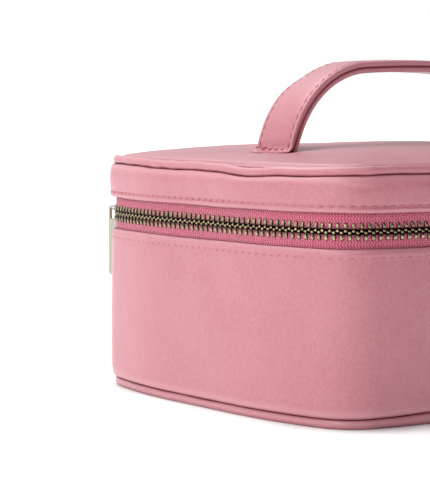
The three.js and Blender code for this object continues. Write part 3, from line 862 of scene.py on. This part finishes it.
def rings_within(distance, shares, outside):
    """x and y of rings that are shares of the outline's size, with one row for each."""
    edge = on_outline(distance, outside, 0.0)
    return edge[:, 0] * shares[:, None], edge[:, 1] * shares[:, None]


def domed_rings(distance, shares, outside, drop):
    """Rings of points on the lid top, or a drop below it."""
    x, y = rings_within(distance, shares, outside)
    return beside(x, y, lid_top_height(x, y) - drop)


def stacked(name, rings, material, marks=None, faces_up=True):
    """A closed solid from rings of points. They start near the centre line on its hidden side, go
    out to its edge and come back to the centre line on the side that shows."""
    faces = tube_faces(*rings.shape[:2])
    if faces_up:
        faces = turned(faces)
    return make_mesh(name, rings.reshape(-1, 3), faces, material, marks=marks)


def make_lid_top():
    distance = around(2.0)
    shares = np.concatenate([np.linspace(1, 0.9, 14)[:-1], np.linspace(0.9, 0.02, 44)])
    under = domed_rings(distance, shares[::-1], -DOME_INSET, TOP_SKIN)
    # The edge of the leather is tucked down and out behind the welt.
    tuck = [on_outline(distance, outside, DOME_EDGE - drop)
            for outside, drop in ((-1.9, 1.3), (-2.2, 0.75), (-2.7, 0.32))]
    top = domed_rings(distance, shares, -DOME_INSET, 0.0)
    rings = np.concatenate([under, np.array(tuck), top])
    share = share_at(rings[:, :, 0], rings[:, :, 1])
    # Painted shade in the seam at the dome's edge, and a painted highlight just inside it.
    marks = {
        "crease": 0.35 * bump(share, 1.0, 0.004),
        "wear": 0.35 * bump(share, 0.985, 0.012),
    }
    panel = stacked("lid_top_padded_panel", rings, leather, marks)
    stand_in(panel, "lid_top_panel", "lid")


def make_lid_pad():
    """The foam under the lid's leather, pressed down with it at the feet of the handle."""
    distance = around(4.0)
    shares = np.linspace(1, 0.02, 34)
    top = domed_rings(distance, shares, -DOME_INSET - 0.3, TOP_SKIN + 0.3)
    top[0, :, Z] = np.minimum(top[0, :, Z], top[1, :, Z] - 0.3)
    floor = domed_rings(distance, shares[[33, 12, 0]], -DOME_INSET - 0.3, 0.0)
    floor[:, :, Z] = low("lid_top_pad", Z)
    pad = stacked("lid_top_foam", np.concatenate([floor, top]), foam)
    stand_in(pad, "lid_top_pad", "lid")


# ---- Handle ----
def leg_x(z):
    """Where the straight leg of the handle is at a height."""
    return HANDLE_BASE[0] + (z - HANDLE_BASE[1]) / math.tan(HANDLE_LEG_ANGLE)


def foot_path():
    """x, z and heading where the outer strap turns up from the lid top into the leg."""
    foot_z = float(lid_top_height([HANDLE_BASE[0] - 4], [0.0])[0]) - 0.25
    leg_start = foot_z + FOOT_BEND_RADIUS * (1 - math.cos(HANDLE_LEG_ANGLE))
    bend_x = leg_x(leg_start) - FOOT_BEND_RADIUS * math.sin(HANDLE_LEG_ANGLE)
    path = [(bend_x - FOOT_LENGTH * share, foot_z, 0.0) for share in (1, 0.55, 0.2)]
    for turn in np.linspace(0, HANDLE_LEG_ANGLE, 8):
        x = bend_x + FOOT_BEND_RADIUS * math.sin(turn)
        path.append((x, foot_z + FOOT_BEND_RADIUS * (1 - math.cos(turn)), turn))
    return path


def handle_path(with_foot):
    """x, z and heading along the seam line between the two straps, from left to right."""
    if with_foot:
        path = foot_path()
    else:
        base_z = float(lid_top_height([HANDLE_BASE[0] + 1], [0.0])[0]) - 0.4
        path = [(leg_x(base_z), base_z, HANDLE_LEG_ANGLE)]
    gap = HANDLE_BEND_START - path[-1][1]
    for _ in range(3):
        z = path[-1][1] + gap / 4
        path.append((leg_x(z), z, HANDLE_LEG_ANGLE))
    bend_x = leg_x(HANDLE_BEND_START)
    arc = HANDLE_BEND_RADIUS * (HANDLE_LEG_ANGLE - HANDLE_CROWN_ANGLE)
    for turn in np.linspace(HANDLE_LEG_ANGLE, HANDLE_CROWN_ANGLE, int(arc / HANDLE_STEP)):
        x = bend_x + HANDLE_BEND_RADIUS * (math.sin(HANDLE_LEG_ANGLE) - math.sin(turn))
        z = HANDLE_BEND_START + HANDLE_BEND_RADIUS * (math.cos(turn) - math.cos(HANDLE_LEG_ANGLE))
        path.append((x, z, turn))
    end_x, end_z, _ = path[-1]
    rise = -end_x * math.tan(HANDLE_CROWN_ANGLE / 2)
    for share in np.linspace(0, 1, int(-end_x / (1.6 * HANDLE_STEP)))[1:]:
        z = end_z + rise * (2 * share - share ** 2)
        path.append((end_x * (1 - share), z, HANDLE_CROWN_ANGLE * (1 - share)))
    mirrored = [(-x, z, -heading) for x, z, heading in path[-2::-1]]
    return np.array(path + mirrored)


def far_edge_drop(x, side):
    """The strap is a little twisted: its back edge lies lower, most of all over the bends."""
    reach = np.abs(x)
    drop = FAR_EDGE_SETTLE * smooth(reach, 30, 42) + FAR_EDGE_BEND * bump(reach, 52, 9)
    return drop * np.clip(0.5 + side / HANDLE_WIDTH, 0, 1) ** 1.4


def settled(x, side, height):
    """Presses the foot of a strap down onto the lid top, with less effect further up the leg."""
    ground = np.asarray(lid_top_height(x, side))
    level = lid_top_height([FOOT_X], [0.0])[0]
    return height + (ground - level) * (1 - smooth(height - level, 1.0, 10.0))


def away_from_feet(run, length):
    """0 where the outer strap lies on the lid, 1 where it has left it."""
    return smooth(np.minimum(run, length - run), 4.0, 13.0)


def raised(x, z, heading, above):
    """x and z of points that lie above the seam line, square to the strap."""
    return x - np.sin(heading) * above, z + np.cos(heading) * above


def make_strap(name, node, path, section, marks, softness):
    """Sweeps a closed section of (above the seam line, to the side) along the handle."""
    run = profile_run(path[:, :2])
    x, z, heading = (path[:, k][:, None] for k in range(3))
    above, side = (section[:, k][None, :] for k in range(2))
    above = above + softness(run[:, None], above, side)
    side = np.broadcast_to(side, above.shape)
    along, height = raised(x, z, heading, above - far_edge_drop(x, side))
    points = beside(along, side, settled(along, side, height))
    values = {mark: np.tile(rule(section[:, 0], section[:, 1]), len(path)) for mark, rule in marks.items()}
    strap = make_mesh(name, points.reshape(-1, 3), tube_faces(*above.shape), leather, marks=values)
    stand_in(strap, node, "lid")


def make_handle():
    half = HANDLE_WIDTH / 2
    seam = half - HANDLE_STITCH_INSET
    lumps = ripples(41, (18, 50))

    def outer_soft(run, above, side):
        top = smooth(above, 0.8, 1.8)
        crown = 0.50 * np.clip(1 - (side / half) ** 2, 0, 1)
        dent = -0.40 * bump(np.abs(side), seam, 0.6)
        free = away_from_feet(run, run.max())
        flattened = -FOOT_PRESS * (1 - free) * smooth(above, 0.3, 2.4)
        return top * (crown * (0.35 + 0.65 * free) + dent + 0.12 * lumps(run, side)) + flattened

    def inner_soft(run, above, side):
        return 0.08 * lumps(run + 90, side) * (1 - smooth(above, -1.6, -0.6))

    # Painted shade in the groove between the straps and along the stitch groove.
    def outer_crease(above, side):
        edge = 0.9 * (1 - smooth(above, 0.15, 0.75))
        return np.maximum(edge, STITCH_SHADE * bump(np.abs(side), seam, 0.5))

    outer = rounded([
        (0.02, -half + 0.25, 0.25), (OUTER_STRAP, -half, 1.15),
        (OUTER_STRAP, half, 1.15), (0.02, half - 0.25, 0.25),
    ], step=1.0)
    # Painted highlight on the rolled top edges.
    outer_marks = {
        "wear": lambda above, side: 0.8 * bump(np.abs(side), half, 1.3) * smooth(above, 0.8, 1.8),
        "crease": outer_crease,
    }
    make_strap("handle_outer_strap_leather", "handle_outer_strap", handle_path(True), outer, outer_marks,
               outer_soft)
    inner = rounded([
        (-INNER_STRAP, half - 0.2, 0.9), (-INNER_STRAP, -half + 0.2, 0.9),
        (-0.02, -half + 0.45, 0.3), (-0.02, half - 0.45, 0.3),
    ], step=1.0)
    # Painted highlight on the inner strap's edges, and painted shade in the groove at its top.
    inner_marks = {
        "wear": lambda above, side: bump(np.abs(side), half, 1.2) * (1 - smooth(above, -1.4, -0.5)),
        "crease": lambda above, side: 0.9 * smooth(above, -0.7, -0.15),
    }
    make_strap("handle_inner_strap_leather", "handle_inner_strap", handle_path(False), inner, inner_marks,
               inner_soft)


def make_handle_stitches():
    """A row along each edge of the outer strap, and a zigzag row across each foot."""
    path = handle_path(True)
    run = profile_run(path[:, :2])
    sewn = run[-1] - 2 * HANDLE_STITCH_START
    count = int(sewn / STITCH_PITCH)
    at = HANDLE_STITCH_START + (np.arange(count) + 0.5) * sewn / count
    x, z, heading = (np.interp(at, run, path[:, k]) for k in range(3))
    pressed = FOOT_PRESS * (1 - away_from_feet(at, run[-1]))
    level = np.zeros(count)
    rows = []
    for edge in (-1, 1):
        side = np.full(count, edge * (HANDLE_WIDTH / 2 - HANDLE_STITCH_INSET))
        above = OUTER_STRAP - 0.22 - pressed - far_edge_drop(x, side)
        row_x, row_z = raised(x, z, heading, above)
        rows.append((
            beside(row_x, side, settled(row_x, side, row_z)),
            beside(np.cos(heading), level, np.sin(heading)),
            beside(-np.sin(heading), level, np.cos(heading)),
        ))
    foot = np.array(foot_path())
    bend_x, bend_z = (np.interp(CROSS_SLOPE, foot[:, 2], foot[:, k]) for k in range(2))
    above = OUTER_STRAP - 0.10 - 0.8 * FOOT_PRESS
    across = np.arange(-CROSS_REACH, CROSS_REACH + 0.1, CROSS_PITCH)
    lean = CROSS_LEAN * (-1.0) ** np.arange(len(across))
    slope_x = math.cos(CROSS_SLOPE)
    slope_z = math.sin(CROSS_SLOPE)
    for end in (1, -1):
        foot_x = np.full(len(across), end * (bend_x - slope_z * above))
        foot_z = settled(foot_x, across, bend_z + slope_x * above)
        rows.append((
            beside(foot_x, across, foot_z),
            beside(end * np.sin(lean) * slope_x, np.cos(lean), np.sin(lean) * slope_z),
            np.tile([-end * slope_z, 0.0, slope_x], (len(across), 1)),
        ))
    places, along, up = (np.concatenate(part) for part in zip(*rows))
    stitches("handle_stitches", places, along, up, "lid", 13)


# ---- Zip ----
def toothed(distance):
    """1 where the tapes carry teeth, 0 beyond them, where the tapes close up."""
    begun = smooth(distance, SLIDER_AT, SLIDER_AT + 8)
    return begun * (1 - smooth(distance, OUTLINE_LENGTH - SLIDER_AT - 3, OUTLINE_LENGTH - SLIDER_AT))


def make_tape(node, sign, body):
    """The lower tape for a sign of -1, or the upper one for 1."""
    bottom, top = sorted((ZIP_HEIGHT + sign * TAPE_EDGE, ZIP_HEIGHT + sign * TAPE_REACH))
    profile = rounded([
        (TAPE_BACK, bottom, 0), (TAPE_FACE, bottom, 0), (TAPE_FACE, top, 0), (TAPE_BACK, top, 0),
    ], step=1.2)

    def shape(distance, outside, height):
        away = np.abs(height - ZIP_HEIGHT)
        cord = 0.25 * bump(away, TAPE_EDGE + 0.5, 0.5) * np.where(outside > -1.2, 1, -1)
        wave = 0.10 * np.sin(TURN * distance / TOOTH_PITCH) * bump(away, 4.2, 1.0)
        closing = (TAPE_EDGE - 0.05) * (1 - toothed(distance)) * (1 - smooth(away, TAPE_EDGE, 3.5))
        return outside + cord + wave, height - sign * closing

    # Painted shade under the edge of the leather, and by the teeth where the chain's gap is.
    def crease(distance, outside, height):
        away = np.abs(height - ZIP_HEIGHT)
        by_the_teeth = (0.3 + 0.58 * toothed(distance)) * (1 - smooth(away, 1.3, 2.3))
        return 0.7 * bump(away, 8.0, 1.0) + by_the_teeth

    distances = stations(HINGE_STRIP_HALF, OUTLINE_LENGTH - HINGE_STRIP_HALF, 1.1)
    marks = {"crease": crease}
    tape = swept(node + "_woven", distances, profile, tape_cloth, shape, marks, closed=False)
    stand_in(tape, node, body)


def tooth_shape():
    """One tooth, from its rounded outer end to its head: its points along, outside and up, how
    bright each is painted (painted highlight on the faces, patina and painted shade on the flanks
    and in the recesses), and its faces."""
    # Height, half width, face and shine.
    rows = (
        (3.85, 0.42, -1.05, 0.4), (3.74, 0.66, -0.58, 0.8), (3.42, 0.78, -0.20, 1.0),
        (2.85, 0.80, 0.06, 0.95), (2.3, 0.80, 0.18, 0.8), (1.8, 0.78, 0.14, 0.5),
        (1.4, 0.66, -0.10, 0.15), (1.2, 0.48, -0.48, 0.0), (1.0, 0.50, -0.40, 0.1),
        (0.72, 0.70, -0.03, 0.8), (0.38, 0.78, 0.14, 1.0), (0.0, 0.70, 0.0, 0.8),
        (-0.32, 0.40, -0.42, 0.1),
    )
    # Share of the half width, depth below the face and painted brightness, from the flank in painted shade
    # to beside the ridge.
    flank = ((1.0, 0.42, 0.12), (0.86, 0.14, 0.45), (0.50, 0.02, 1.0))
    points = []
    shine_shade_and_patina_values = []
    for height, half, face, shine in rows:
        side = [(half, TOOTH_BACK, 0.35)]
        side += [(half * share, face - depth, shine_shade_and_patina) for share, depth, shine_shade_and_patina in flank]
        other_side = [(-along, outside, shine_shade_and_patina) for along, outside, shine_shade_and_patina in reversed(side)]
        section = side + [(0.0, face, 1.0)] + other_side
        points.extend((along, outside, height) for along, outside, _ in section)
        shine_shade_and_patina_values.extend(shine_shade_and_patina * shine for _, _, shine_shade_and_patina in section)
    return np.array(points), shine_shade_and_patina_values, tube_faces(len(rows), len(section))


def make_teeth():
    """Both rows, a tooth of one opposite each gap of the other."""
    shape, shape_shine_shade_and_patina, shape_faces = tooth_shape()
    first = SLIDER_AT + SLIDER_TO_TEETH
    count = int((OUTLINE_LENGTH - SLIDER_AT - first) / TOOTH_PITCH)
    draw = random.Random(51)
    rows = (("lower_zip_teeth", -1, "case", 0.5), ("upper_zip_teeth", 1, "lid", 0.0))
    for node, sign, body, shift in rows:
        points = []
        faces = []
        for k in range(count):
            at = first + (k + shift + 0.3) * TOOTH_PITCH + draw.uniform(-0.05, 0.05)
            x, y, heading = (float(value[0]) for value in outline_at(at))
            run = np.array([math.cos(heading), math.sin(heading), 0])
            out = np.array([math.sin(heading), -math.cos(heading), 0])
            along = shape[:, 0] + draw.uniform(-0.03, 0.03) * shape[:, 2]
            tooth = np.array([x, y, ZIP_HEIGHT]) + np.outer(along, run) + np.outer(shape[:, 1], out)
            tooth[:, Z] += sign * shape[:, 2] + draw.uniform(-0.05, 0.05)
            faces.extend(copied(shape_faces, len(points)))
            points.extend(tooth)
        # An upper tooth is the mirror image of a lower one, which turns its faces inwards.
        if sign > 0:
            faces = turned(faces)
        row = make_mesh(node + "_row", points, faces, brass, marks={"shine_shade_and_patina": shape_shine_shade_and_patina * count})
        stand_in(row, node, body)


def make_hinge_strip():
    """The flexible leather strip across the back, on which the lid hinges."""
    face = high("back_hinge_strip", Y) - HALF_DEPTH
    back = face - HINGE_STRIP_THICKNESS
    bottom = low("back_hinge_strip", Z)
    top = high("back_hinge_strip", Z)
    profile = rounded([(back, bottom, 0), (face, bottom, 0), (face, top, 0), (back, top, 0)], step=0.8)

    def shape(distance, outside, height):
        return outside - 0.35 * bump(height, ZIP_HEIGHT, 2.2), height

    # Painted shade along the seams and at the zip line.
    def crease(distance, outside, height):
        away = np.abs(height - ZIP_HEIGHT)
        return 0.7 * bump(away, HINGE_SEAM, 0.9) + 0.18 * bump(away, 0, 0.7)

    half = HINGE_STRIP_HALF + HINGE_STRIP_LAP
    marks = {"crease": crease}
    strip = swept("back_hinge_leather", stations(-half, half, 2.0), profile, leather, shape, marks,
                  closed=False)
    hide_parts("back_hinge_strip")
    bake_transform(strip)


# ---- Linings ----
lining_folds = loop_ripples(61, (20, 60), 9)
lining_soft = ripples(62, (25, 60))
panel_soft = ripples(71, (30, 70))


def make_wall_lining(name, node, corners, step, swell, crease_widths, body):
    """A lining round the inside of a wall. swell is how far the face that shows stands in."""
    start = low(node, Z)
    end = high(node, Z)

    def shape(distance, outside, height):
        showing = smooth(-outside, 1.9, 2.3)
        return outside - showing * swell(distance, height), height

    # Painted shade along the lining's top and bottom edges.
    def crease(distance, outside, height):
        return bump(height, start, crease_widths[0]) + bump(height, end, crease_widths[1])

    profile = rounded(corners, step)
    piece = swept(name, around(2.0), profile, lining, shape, {"crease": crease})
    stand_in(piece, node, body)


def make_body_lining():
    start = low("body_lining", Z)
    end = high("body_lining", Z)
    ledge = ZIP_HEIGHT - LINING_LEDGE
    corners = [
        (LINING_BACK, start, 0.2), (LINING_FACE, start, 0.2), (TAPE_FACE, start + 1.8, 0.2),
        (TAPE_FACE, ledge, 0.1), (LINING_FACE, ledge, 0.1), (LINING_FACE, end, 0.25),
        (LINING_BACK, end, 0.25),
    ]

    def swell(distance, height):
        middle = smooth(height, start, start + 6) * (1 - smooth(height, end - 6, end))
        return middle * (0.5 + 0.35 * lining_folds(distance) + 0.35 * lining_soft(distance, height))

    make_wall_lining("body_lining_cloth", "body_lining", corners, 2.4, swell, (1.2, 0.9), "case")


def make_lid_lining():
    start = low("lid_lining", Z)
    end = high("lid_lining", Z)
    ledge = ZIP_HEIGHT + LINING_LEDGE
    corners = [
        (LINING_BACK, start, 0.25), (LINING_FACE, start, 0.25), (LINING_FACE, ledge, 0.1),
        (TAPE_FACE, ledge, 0.1), (TAPE_FACE, end, 0.1), (LINING_BACK, end, 0.2),
    ]

    def swell(distance, height):
        return 0.2 * (1 + lining_folds(distance))

    make_wall_lining("lid_lining_cloth", "lid_lining", corners, 1.5, swell, (0.8, 0.9), "lid")


def make_lining_panel(name, node, body, faces_up):
    """A soft fabric panel with a plump middle: the floor of the case or the ceiling of the lid."""
    outside = high(node, X) - HALF_LENGTH
    distance = around(3.0)
    shares = np.concatenate([np.linspace(1, 0.86, 7)[:-1], np.linspace(0.86, 0.03, 22)])
    x, y = rings_within(distance, shares, outside)
    rise = smooth(1 - shares, 0.03, 0.12)[:, None] * (0.9 + 0.35 * panel_soft(x, y))
    if faces_up:
        back = low(node, Z)
        face = high(node, Z) + rise
    else:
        back = high(node, Z)
        face = low(node, Z) - rise
    under = beside(x, y, np.full_like(x, back))[::-1]
    rings = np.concatenate([under, beside(x, y, face)])
    panel = stacked(name, rings, lining, faces_up=faces_up)
    stand_in(panel, node, body)


# ---- CAD nodes that keep their shape ----
def finish_node(node, material, bevel=0.0):
    """Gives a CAD node its material, and rounds its edges by a bevel in millimetres."""
    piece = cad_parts[node]
    piece.data.materials.clear()
    piece.data.materials.append(material)
    for polygon in piece.data.polygons:
        polygon.material_index = 0
    if bevel:
        edge = piece.modifiers.new("soft_edges", "BEVEL")
        edge.width = bevel * MM
        edge.segments = 3
        edge.limit_method = "ANGLE"
        edge.angle_limit = math.radians(35)
        edge.harden_normals = True


def finish_nodes():
    finish_node("base_panel", leather)
    for node in ("base_board", "body_wall_board", "lid_band_board", "lid_top_board"):
        finish_node(node, board)
    finish_node("handle_core", foam)
    for node in ("lower_end_stop", "upper_end_stop", "far_end_stop"):
        finish_node(node, slider_metal, 0.25)
    finish_node("slider_body", slider_metal, 0.3)
    finish_node("slider_bridge", pewter, 0.3)
    finish_node("zip_pull", pewter, 0.35)


# ---- Stage: floor, lights and camera ----
def floor_material():
    """A pale floor that glows like a light table, lights the case from below and glows more further
    off. Its glow fades out next to the case, which paints a soft shadow round its foot against the
    white sweep. The distance is from a rounded box as big as the case."""
    n = Nodes("floor", Roughness=0.8, Specular_IOR_Level=0.1)
    n.shader.inputs["Emission Color"].default_value = (1, 1, 1, 1)
    place = n.place()
    quarter = n.add("VectorMath", {0: place}, operation="ABSOLUTE").outputs[0]
    sides = n.add("SeparateXYZ", {"Vector": quarter}).outputs
    squares = []
    for side, half in ((sides[0], HALF_LENGTH * MM), (sides[1], HALF_DEPTH * MM)):
        beyond = n.math("MAXIMUM", n.math("SUBTRACT", side, half - FLOOR_CORNER), 0.0)
        squares.append(n.math("POWER", beyond, 2.0))
    away = n.math("SUBTRACT", n.math("SQRT", n.math("ADD", *squares)), FLOOR_CORNER)
    near_glow = n.spread(away, *FLOOR_GLOW_REACH, 0.0, FLOOR_GLOW)
    far_glow = n.spread(away, *FLOOR_FAR_GLOW_REACH, 0.0, FLOOR_FAR_GLOW)
    n.put(n.shader.inputs["Emission Strength"], n.math("ADD", near_glow, far_glow))
    grain = n.noise(place, 40.0, 3.0)
    return n.finish(n.mix(n.spread(grain, 0.3, 0.7), [FLOOR_TONE] * 3, [FLOOR_TONE + 0.02] * 3))


def make_floor():
    half = FLOOR_HALF / MM
    corners = [(-half, -half, 0), (half, -half, 0), (half, half, 0), (-half, half, 0)]
    make_mesh("floor", corners, [(0, 1, 2, 3)], floor_material())


def area_light(name, place, size, power):
    data = bpy.data.lights.new(name, "AREA")
    data.shape = "RECTANGLE"
    data.size, data.size_y = size
    data.energy = power
    lamp = bpy.data.objects.new(name, data)
    lamp.location = place
    lamp.rotation_euler = (Vector(LIGHT_AIM) - Vector(place)).to_track_quat("-Z", "Y").to_euler()
    bpy.context.scene.collection.objects.link(lamp)


def make_world():
    """A white sweep, bright at the back left and fading to the front right. The camera sees it
    plain white everywhere."""
    world = bpy.data.worlds.new("studio")
    world.use_nodes = True
    tree = world.node_tree
    place, facing, level, seen, strength = (
        tree.nodes.new("ShaderNode" + kind)
        for kind in ("TexCoord", "VectorMath", "MapRange", "LightPath", "Mix"))
    facing.operation = "DOT_PRODUCT"
    facing.inputs[1].default_value = SWEEP_SIDE
    level.interpolation_type = "SMOOTHSTEP"
    limits = (*SWEEP_FADE, SWEEP_DARK, SWEEP_BRIGHT)
    for socket, value in zip(("From Min", "From Max", "To Min", "To Max"), limits):
        level.inputs[socket].default_value = value
    strength.inputs["B"].default_value = 1.0
    background = tree.nodes["Background"].inputs
    background["Color"].default_value = (1, 1, 1, 1)
    for source, socket in (
            (place.outputs["Generated"], facing.inputs[0]),
            (facing.outputs["Value"], level.inputs["Value"]),
            (seen.outputs["Is Camera Ray"], strength.inputs["Factor"]),
            (level.outputs["Result"], strength.inputs["A"]),
            (strength.outputs["Result"], background["Strength"])):
        tree.links.new(source, socket)
    bpy.context.scene.world = world


def make_lights():
    area_light("key", (-1.35, -0.62, 0.75), (1.2, 1.0), KEY_POWER)
    area_light("top", (-0.2, 0.6, 1.6), (1.6, 1.2), TOP_POWER)
    area_light("front", (-0.7, -1.5, 1.5), (0.9, 0.5), FRONT_POWER)
    view = bpy.context.scene.view_settings
    view.view_transform = "Standard"
    view.look = "None"


def make_camera():
    data = bpy.data.cameras.new("camera")
    data.sensor_fit = "VERTICAL"
    data.sensor_height = CAMERA_SENSOR
    data.lens = CAMERA_LENS
    data.clip_start = 0.01
    data.clip_end = 50
    camera = bpy.data.objects.new("camera", data)
    camera.location = [c * MM for c in CAMERA_PLACE]
    camera.rotation_euler = (math.radians(90 - CAMERA_PITCH), 0, -math.radians(CAMERA_TURN))
    bpy.context.scene.collection.objects.link(camera)
    bpy.context.scene.camera = camera


make_camera()
make_world()
make_lights()
make_floor()
make_body_wall()
make_base_welt()
make_lid_band()
make_lid_welt()
make_lid_top()
make_lid_pad()
make_handle()
make_handle_stitches()
make_tape("lower_zip_tape", -1, "case")
make_tape("upper_zip_tape", 1, "lid")
make_teeth()
make_hinge_strip()
make_body_lining()
make_lid_lining()
make_lining_panel("base_lining_cloth", "base_lining", "case", True)
make_lining_panel("lid_top_lining_cloth", "lid_top_lining", "lid", False)
finish_nodes()
